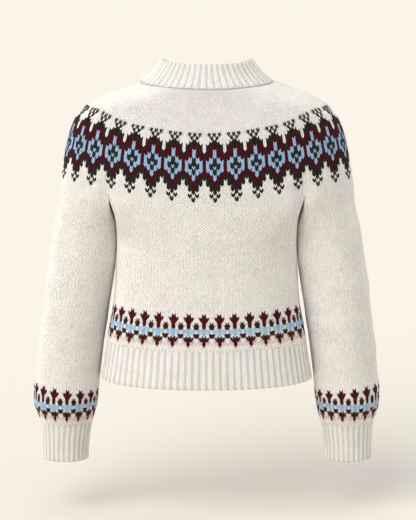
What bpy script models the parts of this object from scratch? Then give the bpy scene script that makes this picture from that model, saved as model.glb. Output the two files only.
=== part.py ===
"""Round-yoke knitted cardigan, buttoned up and filled out as worn, hollow inside.

+Z is up, the fronts face -Y and the back faces +Y. The wearer's left is +X. The origin lies in the
middle of the neck at the height of the collar seam, where the wearer's neck and shoulders hold it.
Every piece of cloth is a wall between an outer skin and a plain inner skin. Both skins follow
rings: a ring is the outline of the cloth at one knitted row, from the centre back over the wearer's
left side to the centre front, and the right side is its mirror image.
"""

import math

import bpy
import numpy as np

MM = 0.001

# Cloth
WALL = 3.0 * MM  # thickness of the knitted cloth
SEAM = 0.3 * MM  # space between two pieces at a seam
RIB = 1.2 * MM  # height of a knit rib over the purl between two ribs

# Heights, as distances down from the collar seam
UNDERARM_DOWN = 205.0 * MM  # where the yoke ends on the back
HEM_SEAM_DOWN = 441.0 * MM  # where the plain body meets its ribbed hem
HEM_DOWN = 507.0 * MM  # lower edge of the hem
CUFF_SEAM_DOWN = 589.0 * MM  # where a sleeve meets its cuff
CUFF_DOWN = 655.0 * MM  # lower edge of a cuff

# Yoke: how far out and how far down the cloth lies at the shoulder, the back and the front.
# share is the part of the knitted rows that lies above. Lengths are in millimetres.
SHOULDER = (
    # share, out, down
    (0.000, 110.5, 0.0),
    (0.116, 141.0, 12.5),
    (0.241, 174.0, 24.5),
    (0.331, 196.0, 37.0),
    (0.414, 213.0, 54.0),
    (0.480, 222.0, 66.0),
    (0.565, 229.0, 84.0),
    (0.698, 236.5, 113.0),
    (0.848, 242.5, 146.0),
    (1.000, 248.0, 178.0),
)
BACK = (
    # share, out, down
    (0.000, 78.0, 1.0),
    (0.137, 86.0, 24.0),
    (0.346, 95.0, 60.0),
    (0.549, 99.5, 102.0),
    (0.772, 101.0, 152.0),
    (1.000, 101.0, 203.0),
)
FRONT = (
    # share, out, down
    (0.000, 88.0, 24.0),
    (0.134, 95.0, 46.0),
    (0.341, 101.0, 81.0),
    (0.541, 104.0, 122.0),
    (0.769, 105.0, 173.0),
    (1.000, 104.0, 225.0),
)
NECK_CENTRE = -5.0 * MM  # y of the widest point of a ring, at the neck
ARM_CENTRE = -15.0 * MM  # the same at the foot of the yoke: arms hang a little forward
SIDE_FLATNESS = 5.0  # how closely a ring keeps to the shoulder's height before it dips

# Folds where the arms meet the body
CREASE_OUT = 162.5 * MM  # x of the fold on the yoke's lower edge
CREASE_DEPTH = 9.0 * MM
CREASE_WIDTH = 13.0 * MM
CREASE_START = 0.66  # share of the yoke at which it begins
UNDERARM_CORNER = 4.0 * MM  # from the end of a fold to the first point under the arm
UNDERARM_SAG = 11.0 * MM  # how much lower the underarm lies than the ends of the folds

# Between body and sleeve: x of the plane in which their sides touch, in millimetres
CONTACT = (
    # down, x
    (165.0, 162.5),
    (178.0, 162.5),
    (191.0, 162.4),
    (200.0, 159.4),
    (216.0, 154.4),
    (235.0, 151.6),
    (256.0, 151.2),
    (309.0, 153.6),
    (345.0, 158.5),
    (390.0, 165.5),
    (441.0, 171.6),
    (507.0, 180.3),
)
TOUCH_GAP = 0.5 * MM  # from that plane to either of them, below the seam

# Body, from the underarm to the lower edge of the hem, in millimetres
BODY = (
    # down, half_width, back, front
    (205.0, 172.0, 101.0, 104.0),
    (256.0, 158.0, 99.5, 101.5),
    (300.0, 154.0, 98.5, 100.5),
    (345.0, 154.5, 98.5, 101.0),
    (390.0, 159.0, 99.5, 102.0),
    (421.0, 165.0, 101.0, 103.5),
    (441.0, 168.0, 102.0, 104.5),
    (477.0, 173.5, 103.5, 106.0),
    (507.0, 179.0, 105.0, 107.5),
)
BODY_ROUNDNESS = 2.15  # 2 is an ellipse, more is squarer

# Left sleeve and cuff: centre and half sizes of each ring, in millimetres
SLEEVE = (
    # down, x, y, half_x, half_y
    (190.0, 196.0, -15.0, 53.0, 62.0),
    (256.0, 201.0, -15.0, 58.0, 59.0),
    (309.0, 210.0, -16.0, 57.0, 58.0),
    (373.0, 219.8, -18.0, 55.8, 57.0),
    (444.0, 229.5, -20.0, 54.6, 55.5),
    (502.0, 236.2, -22.0, 54.4, 55.0),
    (545.0, 240.2, -23.5, 54.2, 54.5),
    (566.0, 240.4, -24.5, 51.6, 52.0),
    (580.0, 240.8, -25.0, 48.0, 48.5),
    (600.0, 241.2, -25.5, 43.6, 44.2),
    (626.0, 242.4, -26.0, 41.2, 41.6),
    (655.0, 242.9, -26.5, 40.4, 40.6),
)
SLEEVE_BLEND = 75.0 * MM  # length over which the armhole turns into a round sleeve
BODY_BLEND = 85.0 * MM

LEAN_SPAN = 10.0 * MM  # length of sleeve over which its lean is measured
FOLD_SLANT = 0.12  # millimetres that a soft fold runs down for each degree round the arm

# Soft folds of the sleeves, as ridges that run a little way round: millimetres and degrees
SLEEVE_FOLDS = (
    # down, angle, height, length, half_turn
    (292.0, 38.0, 2.2, 15.0, 40.0),
    (352.0, 150.0, 2.6, 18.0, 46.0),
    (410.0, 60.0, 2.4, 17.0, 42.0),
    (470.0, 215.0, 2.8, 20.0, 50.0),
    (552.0, 110.0, 2.2, 13.0, 80.0),
)

# Collar, a ribbed band that stands on the neck's edge
COLLAR_TOP = 37.0 * MM  # height of its top edge, at the back and sides
COLLAR_FRONT_DROP = 22.0 * MM  # how much lower the top edge lies at the front
COLLAR_HALF_WIDTH = 77.5 * MM
COLLAR_HALF_DEPTH = 62.0 * MM
COLLAR_HOLLOW = 3.0 * MM  # how far its side curves in between its two edges
COLLAR_DROP_POWER = 1.5  # how evenly the drop spreads from the sides to the front

# Bands and buttons of the front opening
BAND_HALF_WIDTH = 16.0 * MM
BUTTON_COUNT = 8
BUTTON_RADIUS = 8.0 * MM
BUTTON_RIM = 3.2 * MM
BUTTON_TOP_INSET = 15.0 * MM  # from the top of the collar to the first button
BUTTON_FOOT_INSET = 22.0 * MM  # from the last button to the lower edge
BUTTON_LIFT = 0.9 * MM  # between the middle of a button and the band's ribs
BUTTON_SIDES = 20
BUTTON_MERGE = 0.01 * MM
BUTTON_PROFILE = (
    # out, as a share of the radius, and height, as a share of the rim
    (0.00, 0.625),
    (0.62, 0.625),
    (0.80, 1.000),
    (0.93, 0.950),
    (1.00, 0.550),
    (0.90, 0.120),
    (0.60, 0.000),
    (0.00, 0.000),
)

# Divisions of the solids
YOKE_ROWS = 12
QUARTER_COLUMNS = 7  # from the centre back to the fold, and from there to the shoulder
UNDERARM_COLUMNS = 3  # from a fold to the middle of the underarm
BODY_ROWS = 8
SLEEVE_ROWS = 14
HEM_COLUMNS = 38  # ribs and the purls between them, from the centre back to the side
HEM_FRONT_COLUMNS = 36
CUFF_COLUMNS = 56
COLLAR_COLUMNS = 46  # from the centre back to the band
BAND_COLUMNS = 8
RIB_ROWS = 2
BAND_YOKE_ROWS = 7
BAND_BODY_ROWS = 6
RING_POINTS = 181
NEAR_NECK = 0.04  # share of the yoke that gives the slope of the cloth at the neck
NEAR_FOOT = 0.92  # and at its foot

# Kinds of seam at the upper or lower edge of a piece
LEVEL = "level"  # cut level, so that the next piece lies straight below or above
NECK = "neck"  # the fold between yoke and collar

CREAM = (0.787, 0.745, 0.672)
BUTTON_BROWN = (0.090, 0.048, 0.030)


def read(table, at):
    """The other columns of a table at a value of its first one, on a smooth curve through it."""
    rows = np.array(table, float)
    keys = rows[:, 0]
    values = rows[:, 1:]
    slopes = np.gradient(values, keys, axis=0)
    at = min(max(at, keys[0]), keys[-1])
    row = int(np.clip(np.searchsorted(keys, at) - 1, 0, len(keys) - 2))
    span = keys[row + 1] - keys[row]
    t = (at - keys[row]) / span
    start = (1 + 2 * t) * (1 - t) ** 2 * values[row] + t * (1 - t) ** 2 * span * slopes[row]
    end = t * t * (3 - 2 * t) * values[row + 1] + t * t * (t - 1) * span * slopes[row + 1]
    return start + end


def ease(t):
    """0 below 0, 1 above 1 and smooth between."""
    t = min(max(t, 0.0), 1.0)
    return t * t * (3 - 2 * t)


def contact_plane(z):
    return read(CONTACT, -z / MM)[0] * MM


def spaced(curve, stops, counts):
    """Points along a curve, with each stretch between two stops divided evenly."""
    steps = np.linalg.norm(np.diff(curve, axis=0), axis=1)
    along = np.concatenate([[0.0], np.cumsum(steps)])
    places = [stops[0]]
    for start, end, count in zip(stops, stops[1:], counts):
        places.extend(np.linspace(start, end, count + 1)[1:])
    return np.stack([np.interp(places, along, curve[:, axis]) for axis in range(3)], axis=1)


def length_to(curve, x, front):
    """Distance along a half ring from the centre back to where it has this x."""
    steps = np.linalg.norm(np.diff(curve, axis=0), axis=1)
    along = np.concatenate([[0.0], np.cumsum(steps)])
    widest = int(np.argmax(curve[:, 0]))
    if front:
        return float(np.interp(-x, -curve[widest:, 0], along[widest:]))
    return float(np.interp(x, curve[: widest + 1, 0], along[: widest + 1]))


def widest_at(curve):
    steps = np.linalg.norm(np.diff(curve, axis=0), axis=1)
    along = np.concatenate([[0.0], np.cumsum(steps)])
    return float(along[int(np.argmax(curve[:, 0]))])


def mirrored(grid):
    """The wearer's right side from the left one, with its columns in the same sense."""
    return (grid * np.array([-1.0, 1.0, 1.0]))[:, ::-1]


def both_sides(grid):
    """A whole grid from its left half, whose first column is the centre back."""
    return np.concatenate([mirrored(grid), grid[:, 1:]], axis=1)


def yoke_ring(share):
    """Half a ring of the yoke, dense, from the centre back to the centre front."""
    side_out, side_down = read(SHOULDER, share) * MM
    back_out, back_down = read(BACK, share) * MM
    front_out, front_down = read(FRONT, share) * MM
    centre = NECK_CENTRE + (ARM_CENTRE - NECK_CENTRE) * ease(share)
    crease = CREASE_DEPTH * ease((share - CREASE_START) / (1 - CREASE_START))
    points = []
    for turn in np.linspace(0.0, math.pi, RING_POINTS):
        x = side_out * math.sin(turn)
        toward = math.cos(turn)
        reach = back_out - centre if toward > 0 else front_out + centre
        dip = (back_down if toward > 0 else front_down) - side_down
        y = centre + reach * toward
        fold = crease * math.exp(-(((x - CREASE_OUT) / CREASE_WIDTH) ** 2))
        y -= math.copysign(fold, toward)
        z = -side_down - dip * abs(toward) ** SIDE_FLATNESS
        points.append((x, y, z))
    return np.array(points)


FOOT_RING = yoke_ring(1.0)  # lower edge of the yoke, which body and sleeves continue


def yoke_row(ring):
    """Points of a half ring from the centre back to the band, at the yoke's columns."""
    foot_side = widest_at(FOOT_RING)
    foot_band = length_to(FOOT_RING, BAND_HALF_WIDTH, True)
    back_share = length_to(FOOT_RING, CREASE_OUT, False) / foot_side
    front_share = (length_to(FOOT_RING, CREASE_OUT, True) - foot_side) / (foot_band - foot_side)
    side = widest_at(ring)
    band = length_to(ring, BAND_HALF_WIDTH, True)
    stops = [0.0, back_share * side, side, side + front_share * (band - side), band]
    return spaced(ring, stops, [QUARTER_COLUMNS] * 4)


def underarm(start, end, side):
    """Points between the two folds, under the arm: side is -1 on the body, 1 on the sleeve."""
    first = UNDERARM_CORNER / abs(start[1] - end[1])
    half = np.concatenate([[0.0], np.linspace(first, 0.5, UNDERARM_COLUMNS)])
    points = []
    for t in np.concatenate([half, 1 - half[-2::-1]]):
        y = start[1] + (end[1] - start[1]) * t
        z = start[2] + (end[2] - start[2]) * t - UNDERARM_SAG * math.sin(math.pi * t)
        points.append((contact_plane(z) + side * SEAM / 2, y, z))
    return np.array(points)


def foot_of_yoke_on_body():
    """The yoke's lower edge as the body meets it: back, underarm and front, to the band."""
    row = yoke_row(FOOT_RING)
    back = row[: QUARTER_COLUMNS + 1]
    front = row[3 * QUARTER_COLUMNS :]
    side = underarm(back[-1], front[0], -1)
    return np.concatenate([back[:-1], side, front[1:]])


def foot_of_yoke_on_sleeve():
    """The armhole, from the middle of the underarm by the back over the shoulder and on round."""
    arc = yoke_row(FOOT_RING)[QUARTER_COLUMNS : 3 * QUARTER_COLUMNS + 1]
    under = underarm(arc[-1], arc[0], 1)
    first = under[UNDERARM_COLUMNS:]
    last = under[1:UNDERARM_COLUMNS]
    return np.concatenate([first, arc[1:-1], under[:1], last])


def body_outline(down):
    """Half an outline of the plain body, dense."""
    half_width, back, front = read(BODY, down / MM) * MM
    points = []
    for turn in np.linspace(0.0, math.pi, RING_POINTS):
        across = abs(math.sin(turn)) ** (2 / BODY_ROUNDNESS)
        toward = abs(math.cos(turn)) ** (2 / BODY_ROUNDNESS)
        y = back * toward if turn < math.pi / 2 else -front * toward
        points.append((half_width * across, y, -down))
    return np.array(points)


def to_the_band(ring, back_columns, front_columns):
    """A half ring from the centre back to the band, with a point at the side seam."""
    stops = [0.0, widest_at(ring), length_to(ring, BAND_HALF_WIDTH, True)]
    return spaced(ring, stops, [back_columns, front_columns])


def body_row(down, gap=TOUCH_GAP):
    """One row of the body from the centre back to the band, as high up as the underarm."""
    plain = body_outline(down)
    columns = QUARTER_COLUMNS + UNDERARM_COLUMNS
    row = to_the_band(plain, columns, columns)
    foot = foot_of_yoke_on_body()
    stay = 1 - ease((down - UNDERARM_DOWN) / BODY_BLEND)
    rise = 1 - ease((down - UNDERARM_DOWN) / (HEM_SEAM_DOWN - UNDERARM_DOWN))
    row[:, :2] += (foot[:, :2] - row[:, :2]) * stay
    row[:, 2] += (foot[:, 2] + UNDERARM_DOWN) * rise
    for point in row:
        point[0] = min(point[0], contact_plane(point[2]) - gap)
    return row


def sleeve_fold_height(down, turn):
    """How far the soft folds lift the sleeve's skin at a place."""
    height = 0.0
    for fold_down, angle, raised, length, half_turn in SLEEVE_FOLDS:
        away = (math.degrees(turn) - angle + 180) % 360 - 180
        across = (down / MM - fold_down - FOLD_SLANT * away) / length
        height += raised * MM * math.exp(-(across**2) - (away / half_turn) ** 2)
    return height


def sleeve_row(down, columns, folds=True):
    """One ring of the left sleeve or cuff, from its inner side by the back and on round."""
    x, y, half_x, half_y = read(SLEEVE, down / MM) * MM
    below = read(SLEEVE, (down + LEAN_SPAN / 2) / MM)[0] * MM
    above = read(SLEEVE, (down - LEAN_SPAN / 2) / MM)[0] * MM
    lean = (below - above) / LEAN_SPAN
    points = []
    for column in range(columns):
        turn = 2 * math.pi * column / columns
        lift = sleeve_fold_height(down, turn) if folds else 0.0
        across = -(half_x + lift) * math.cos(turn)
        points.append((x + across, y + (half_y + lift) * math.sin(turn), -down + across * lean))
    return np.array(points)


def sleeve_rows():
    """The left sleeve, from the armhole down to its cuff."""
    foot = foot_of_yoke_on_sleeve()
    columns = len(foot)
    mean_down = -float(foot[:, 2].mean())
    rows = [foot]
    downs = np.linspace(mean_down, CUFF_SEAM_DOWN, SLEEVE_ROWS + 1)
    for down in downs[1:]:
        stay = 1 - ease((down - mean_down) / SLEEVE_BLEND)
        plain = sleeve_row(down, columns)
        row = plain + (foot - plain) * stay
        row[:, 2] = plain[:, 2] + (foot[:, 2] + mean_down) * stay
        for point in row:
            point[0] = max(point[0], contact_plane(point[2]) + TOUCH_GAP)
        rows.append(row)
    return np.array(rows)


def collar_ring(share):
    """Half a ring of the collar, dense: share is 0 on its seam and 1 on its top edge."""
    seam = yoke_ring(0.0)
    points = []
    for point, turn in zip(seam, np.linspace(0.0, math.pi, RING_POINTS)):
        toward = math.cos(turn)
        top = np.array(
            [
                COLLAR_HALF_WIDTH * math.sin(turn),
                NECK_CENTRE + COLLAR_HALF_DEPTH * toward,
                COLLAR_TOP - COLLAR_FRONT_DROP * max(-toward, 0.0) ** COLLAR_DROP_POWER,
            ]
        )
        inward = COLLAR_HOLLOW * math.sin(math.pi * share)
        place = point + (top - point) * share
        place[0] -= inward * math.sin(turn)
        place[1] -= inward * toward
        points.append(place)
    return np.array(points)


def outward(grid, closed):
    """Unit normals of a grid of points, whose rows run down and columns run clockwise."""
    down = np.gradient(grid, axis=0)
    if closed:
        round_it = (np.roll(grid, -1, axis=1) - np.roll(grid, 1, axis=1)) / 2
    else:
        round_it = np.gradient(grid, axis=1)
    normals = np.cross(round_it, down)
    return normals / np.linalg.norm(normals, axis=2, keepdims=True)


def neck_normals():
    """Unit normals along the dense neck ring, where collar and yoke share their edge."""
    near = np.array([collar_ring(NEAR_NECK), yoke_ring(0.0), yoke_ring(NEAR_NECK)])
    return outward(both_sides(near), False)[1, RING_POINTS - 1 :]


def edge_normals(normals, grid, top, foot):
    """Normals whose first and last row suit the seam there: LEVEL, NECK or None for no seam."""
    for edge, seam in ((0, top), (-1, foot)):
        if seam == LEVEL:
            normals[edge, :, 2] = 0.0
            normals[edge] /= np.linalg.norm(normals[edge], axis=1, keepdims=True)
        if seam == NECK:
            ring = yoke_ring(0.0)
            away = np.linalg.norm(grid[edge][:, None] - ring[None], axis=2)
            normals[edge] = neck_normals()[away.argmin(axis=1)]
    return normals


def foot_normals():
    """Level normals along the yoke's lower edge, which body and sleeves share.

    At the ends of the folds they point straight back or forward, because the walls of yoke, body
    and sleeve meet there, each from another side.
    """
    near = np.array([yoke_row(yoke_ring(share)) for share in (NEAR_FOOT, 1.0)])
    normals = half_normals(near, None, LEVEL)[-1]
    for column in (QUARTER_COLUMNS, 3 * QUARTER_COLUMNS):
        normals[column] = (0.0, math.copysign(1.0, normals[column][1]), 0.0)
    return normals


def half_normals(half, top, foot):
    """Normals of a grid that begins at the centre back and has a mirror image."""
    normals = outward(both_sides(half), False)[:, half.shape[1] - 1 :]
    return edge_normals(normals, half, top, foot)


def material_for(name, colour, roughness):
    material = bpy.data.materials.new(name)
    material.use_nodes = True
    shader = material.node_tree.nodes["Principled BSDF"]
    shader.inputs["Base Color"].default_value = (*colour, 1.0)
    shader.inputs["Roughness"].default_value = roughness
    shader.inputs["Metallic"].default_value = 0.0
    return material


def add_wall(name, outer, inner, closed=False):
    """A closed solid of cloth between two grids of points."""
    rows, columns = outer.shape[:2]
    half = rows * columns

    def at(skin, row, column):
        return skin * half + row * columns + column % columns

    faces = []
    for row in range(rows - 1):
        for column in range(columns if closed else columns - 1):
            a, b = at(0, row, column), at(0, row, column + 1)
            c, d = at(0, row + 1, column + 1), at(0, row + 1, column)
            faces.append((a, b, c, d))
            faces.append((d + half, c + half, b + half, a + half))
    for column in range(columns if closed else columns - 1):
        top, top_next = at(0, 0, column), at(0, 0, column + 1)
        foot, foot_next = at(0, rows - 1, column), at(0, rows - 1, column + 1)
        faces.append((top_next, top, top + half, top_next + half))
        faces.append((foot, foot_next, foot_next + half, foot + half))
    if not closed:
        for row in range(rows - 1):
            left, left_next = at(0, row, 0), at(0, row + 1, 0)
            right, right_next = at(0, row, columns - 1), at(0, row + 1, columns - 1)
            faces.append((left, left_next, left_next + half, left + half))
            faces.append((right_next, right, right + half, right_next + half))
    points = np.concatenate([outer.reshape(-1, 3), inner.reshape(-1, 3)])
    mesh = bpy.data.meshes.new(name)
    mesh.from_pydata(points.tolist(), [], faces)
    mesh.update()
    return add_object(name, mesh, CREAM, 0.95)


def add_object(name, mesh, colour, roughness):
    mesh.materials.append(material_for(name + "_material", colour, roughness))
    mesh.shade_smooth()
    mesh.set_sharp_from_angle(angle=math.radians(40))
    item = bpy.data.objects.new(name, mesh)
    cardigan.objects.link(item)
    return item


def trimmed(rows, top, foot):
    """Rows of a grid, with the first and last one moved in by half a seam where there is one."""
    rows = np.array(rows)
    for edge, beside, seam in ((0, 1, top), (-1, -2, foot)):
        step = rows[beside] - rows[edge]
        if seam == LEVEL:
            step = np.array([[0.0, 0.0, math.copysign(1.0, step[0, 2])]])
        if seam:
            rows[edge] += step / np.linalg.norm(step, axis=1, keepdims=True) * SEAM / 2
    return rows


def rib_depth(columns):
    """How far each column of a ribbed skin lies below the ribs' backs."""
    return ((np.arange(columns) % 2) * RIB)[None, :, None]


def add_torso(names, rows, side, top, foot, shared=(), ribbed=False):
    """A back and two fronts from rows that run from the centre back to the band.

    side is the column of the seam between the back and a front. shared has a row, its first column
    and the normals from there on, for each stretch that another piece shares.
    """
    half = trimmed(rows, top, foot)
    normals = half_normals(half, top, foot)
    for row, column, given in shared:
        normals[row, column : column + len(given)] = given
    outer = half - normals * rib_depth(half.shape[1]) * ribbed
    inner = half - normals * WALL
    backs = []
    fronts = []
    for skin in (outer, inner):
        skin[:, -1, 0] += SEAM / 2
        back = skin[:, : side + 1].copy()
        front = skin[:, side:].copy()
        back[:, -1, 1] += SEAM / 2
        front[:, 0, 1] -= SEAM / 2
        backs.append(both_sides(back))
        fronts.append(front)
    add_wall(names[0], *backs)
    add_wall(names[1], *fronts)
    add_wall(names[2], *[mirrored(front) for front in fronts])


def add_yoke():
    rows = [yoke_row(yoke_ring(share)) for share in np.linspace(0.0, 1.0, YOKE_ROWS + 1)]
    names = ("yoke_back", "yoke_front_left", "yoke_front_right")
    add_torso(names, rows, 2 * QUARTER_COLUMNS, NECK, LEVEL, [(-1, 0, foot_normals())])


def add_body():
    downs = np.linspace(UNDERARM_DOWN, HEM_SEAM_DOWN, BODY_ROWS + 1)
    rows = [body_row(downs[0], SEAM / 2)] + [body_row(down) for down in downs[1:]]
    side = QUARTER_COLUMNS + UNDERARM_COLUMNS
    back_edge = foot_normals()[: QUARTER_COLUMNS + 1]
    front_edge = foot_normals()[3 * QUARTER_COLUMNS :]
    shared = [(0, 0, back_edge), (0, side + UNDERARM_COLUMNS, front_edge)]
    add_torso(("back", "front_left", "front_right"), rows, side, LEVEL, LEVEL, shared)


def add_hem():
    downs = np.linspace(HEM_SEAM_DOWN, HEM_DOWN, RIB_ROWS + 1)
    rows = [to_the_band(body_outline(down), HEM_COLUMNS, HEM_FRONT_COLUMNS) for down in downs]
    names = ("hem_rib_back", "hem_rib_left", "hem_rib_right")
    add_torso(names, rows, HEM_COLUMNS, LEVEL, None, ribbed=True)


def add_tube(name, rows, top, foot, armhole=(), ribbed=False):
    """A tube of cloth on each side of the garment. armhole has the normals shared with the yoke."""
    grid = trimmed(rows, top, foot)
    normals = edge_normals(outward(grid, True), grid, top, foot)
    if len(armhole):
        normals[0, UNDERARM_COLUMNS : UNDERARM_COLUMNS + len(armhole)] = armhole
    outer = grid - normals * rib_depth(grid.shape[1]) * ribbed
    inner = grid - normals * WALL
    add_wall(name + "_left", outer, inner, closed=True)
    add_wall(name + "_right", mirrored(outer), mirrored(inner), closed=True)


def add_sleeves():
    armhole = foot_normals()[QUARTER_COLUMNS : 3 * QUARTER_COLUMNS + 1]
    add_tube("sleeve", sleeve_rows(), LEVEL, LEVEL, armhole)
    downs = np.linspace(CUFF_SEAM_DOWN, CUFF_DOWN, RIB_ROWS + 1)
    rows = [sleeve_row(down, CUFF_COLUMNS, folds=False) for down in downs]
    add_tube("cuff", rows, LEVEL, None, ribbed=True)


def add_collar():
    rows = []
    for share in np.linspace(1.0, 0.0, RIB_ROWS + 1):
        ring = collar_ring(share)
        rows.append(spaced(ring, [0.0, length_to(ring, BAND_HALF_WIDTH, True)], [COLLAR_COLUMNS]))
    half = trimmed(rows, None, NECK)
    normals = half_normals(half, None, NECK)
    outer = half - normals * rib_depth(half.shape[1])
    inner = half - normals * WALL
    for skin in (outer, inner):
        skin[:, -1, 0] += SEAM / 2
    add_wall("collar", both_sides(outer), both_sides(inner))


def front_strip():
    """The middle of the front as a grid from the collar's top to the hem, as wide as a band."""
    rings = [collar_ring(share) for share in (1.0, 0.5)]
    rings += [yoke_ring(share) for share in np.linspace(0.0, 1.0, BAND_YOKE_ROWS + 1)]
    downs = np.linspace(UNDERARM_DOWN, HEM_SEAM_DOWN, BAND_BODY_ROWS + 1)
    rings += [body_front(down) for down in downs[1:]]
    rings += [body_outline((HEM_SEAM_DOWN + HEM_DOWN) / 2), body_outline(HEM_DOWN)]
    reach = BAND_HALF_WIDTH - SEAM / 2
    rows = []
    for ring in rings:
        widest = int(np.argmax(ring[:, 0]))
        tail = ring[widest:][::-1]
        row = []
        for x in np.linspace(reach, -reach, BAND_COLUMNS + 1):
            y = np.interp(abs(x), tail[:, 0], tail[:, 1])
            z = np.interp(abs(x), tail[:, 0], tail[:, 2])
            row.append((x, y, z))
        rows.append(row)
    return np.array(rows)


def body_front(down):
    """The body's outline near the centre front, lowered as its knitted row is."""
    outline = body_outline(down)
    rise = 1 - ease((down - UNDERARM_DOWN) / (HEM_SEAM_DOWN - UNDERARM_DOWN))
    stay = 1 - ease((down - UNDERARM_DOWN) / BODY_BLEND)
    foot = FOOT_RING[-1]
    outline[:, 1] += (foot[1] - outline[-1, 1]) * stay
    outline[:, 2] += (foot[2] + UNDERARM_DOWN) * rise
    return outline


def add_bands():
    """The button band in the gap between the fronts, and the buttonhole band on top of it."""
    strip = front_strip()
    normals = outward(strip, False)
    depth = rib_depth(strip.shape[1])
    for name, lift in (("button_band", 0.0), ("buttonhole_band", WALL + SEAM)):
        outer = strip + normals * (lift - depth)
        add_wall(name, outer, strip + normals * (lift - WALL))
    return strip


def add_buttons(strip):
    """Dished buttons with a raised rim, evenly spaced down the middle of the bands."""
    normals = outward(strip, False)
    middle = BAND_COLUMNS // 2
    line = strip[:, middle]
    facing = normals[:, middle]
    steps = np.linalg.norm(np.diff(line, axis=0), axis=1)
    along = np.concatenate([[0.0], np.cumsum(steps)])
    places = np.linspace(BUTTON_TOP_INSET, along[-1] - BUTTON_FOOT_INSET, BUTTON_COUNT)
    for number, place in enumerate(places, start=1):
        centre = np.array([np.interp(place, along, line[:, axis]) for axis in range(3)])
        face = np.array([np.interp(place, along, facing[:, axis]) for axis in range(3)])
        face /= np.linalg.norm(face)
        centre += face * (WALL + SEAM + BUTTON_LIFT)
        tilt = math.atan2(face[2], -face[1])
        add_button("button_%d" % number, centre, math.pi / 2 - tilt)


def add_button(name, centre, turn):
    """One button: a turned profile, from the middle of its dished face round to its back."""
    points = [(out * BUTTON_RADIUS, 0.0, height * BUTTON_RIM) for out, height in BUTTON_PROFILE]
    mesh = bpy.data.meshes.new(name)
    mesh.from_pydata(points, [(i, i + 1) for i in range(len(points) - 1)], [])
    item = add_object(name, mesh, BUTTON_BROWN, 0.35)
    screw = item.modifiers.new("turned", "SCREW")
    screw.steps = BUTTON_SIDES
    screw.render_steps = BUTTON_SIDES
    screw.use_merge_vertices = True
    screw.merge_threshold = BUTTON_MERGE
    screw.use_normal_calculate = True
    item.location = centre.tolist()
    item.rotation_euler = (turn, 0.0, 0.0)


for old in list(bpy.data.objects):
    bpy.data.objects.remove(old)

cardigan = bpy.data.collections.new("fair_isle_cardigan")
bpy.context.scene.collection.children.link(cardigan)

add_yoke()
add_body()
add_hem()
add_sleeves()
add_collar()
add_buttons(add_bands())
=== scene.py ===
"""Looks of a round-yoke fair isle cardigan, knitted in lambswool, in its worn shape and buttoned.

Lengths are in metres unless a name or a comment says otherwise. +Z is up, the fronts face -Y, and
the wearer's left is +X. Each section makes one group of pieces, in the order of the knitting: the
yoke from the neck down, then body, hem, sleeves, cuffs, collar, bands and buttons.
"""

import math
from functools import partial

import bmesh
import bpy
import numpy as np
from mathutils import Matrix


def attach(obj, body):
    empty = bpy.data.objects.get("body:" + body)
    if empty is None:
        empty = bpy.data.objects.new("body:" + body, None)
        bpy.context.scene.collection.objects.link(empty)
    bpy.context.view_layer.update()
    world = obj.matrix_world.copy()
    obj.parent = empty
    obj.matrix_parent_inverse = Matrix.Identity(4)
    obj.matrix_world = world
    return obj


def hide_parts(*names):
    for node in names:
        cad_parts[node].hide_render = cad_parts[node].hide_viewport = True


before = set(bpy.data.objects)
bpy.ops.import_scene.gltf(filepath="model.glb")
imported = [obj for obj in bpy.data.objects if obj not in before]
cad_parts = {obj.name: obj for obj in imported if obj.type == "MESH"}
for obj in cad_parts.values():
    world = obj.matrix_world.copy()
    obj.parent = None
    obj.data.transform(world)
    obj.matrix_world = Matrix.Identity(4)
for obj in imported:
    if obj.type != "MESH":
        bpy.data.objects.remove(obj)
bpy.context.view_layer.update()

# Yoke
# Stocking stitch in heathered cream lambswool, with a band of diamonds in stranded knitting: the
# yarn that isn't on the face floats behind it. It is knitted in one piece over back, shoulders and
# front; every ring of stitches widens towards its foot, where body and sleeves go on from it.
MM = 0.001
SHOULDER = (
    # share of the rows above, out, down, in millimetres
    (0.000, 110.5, 0.0),
    (0.116, 141.0, 12.5),
    (0.241, 174.0, 24.5),
    (0.331, 196.0, 37.0),
    (0.414, 213.0, 54.0),
    (0.480, 222.0, 66.0),
    (0.565, 229.0, 84.0),
    (0.698, 236.5, 113.0),
    (0.848, 242.5, 146.0),
    (1.000, 248.0, 178.0),
)
BACK = (
    # share, out, down
    (0.000, 78.0, 1.0),
    (0.137, 86.0, 24.0),
    (0.346, 95.0, 60.0),
    (0.549, 99.5, 102.0),
    (0.772, 101.0, 152.0),
    (1.000, 101.0, 203.0),
)
FRONT = (
    # share, out, down
    (0.000, 88.0, 24.0),
    (0.134, 95.0, 46.0),
    (0.341, 101.0, 81.0),
    (0.541, 104.0, 122.0),
    (0.769, 105.0, 173.0),
    (1.000, 104.0, 225.0),
)
NECK_CENTRE = -5.0 * MM
ARM_CENTRE = -15.0 * MM
SIDE_FLATNESS = 5.0
CREASE_OUT = 162.5 * MM
CREASE_DEPTH = 9.0 * MM
CREASE_WIDTH = 13.0 * MM
CREASE_START = 0.66
BAND_HALF = 16.0 * MM  # half the width of the button band, where the fronts end
CLOTH = 3.0 * MM  # thickness of the knitted cloth
BEHIND = 1.7 * MM  # from the crest of a stitch to the cloth that shows between the stitches

YOKE_ROWS = 48
YOKE_HALF = 96  # stitches from the centre back to the centre front, the band's included
YOKE_SHOULDER = 48
YOKE_FRONT = 90.5  # the same to the edge of the band
BAND_CLIMB = ([0, 18, 23, 30, 42], [0.0, 3.1, 2.4, 1.2, 0.0])  # row, and rows of climb
# Columns out from the centre where the climb begins and where it ends, each with its span
CLIMB_IN = (22.0, 18.0)
CLIMB_OUT = (56.0, 16.0)
COLUMN_SHIFT = 0.69  # the photo has the middle column that far to the wearer's left
SHOULDER_FADE = (36.0, 24.0)  # columns out where that shift begins to fade, and its span

TURNS = np.linspace(0.0, math.pi, 181)
rng = np.random.default_rng(7)


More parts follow.
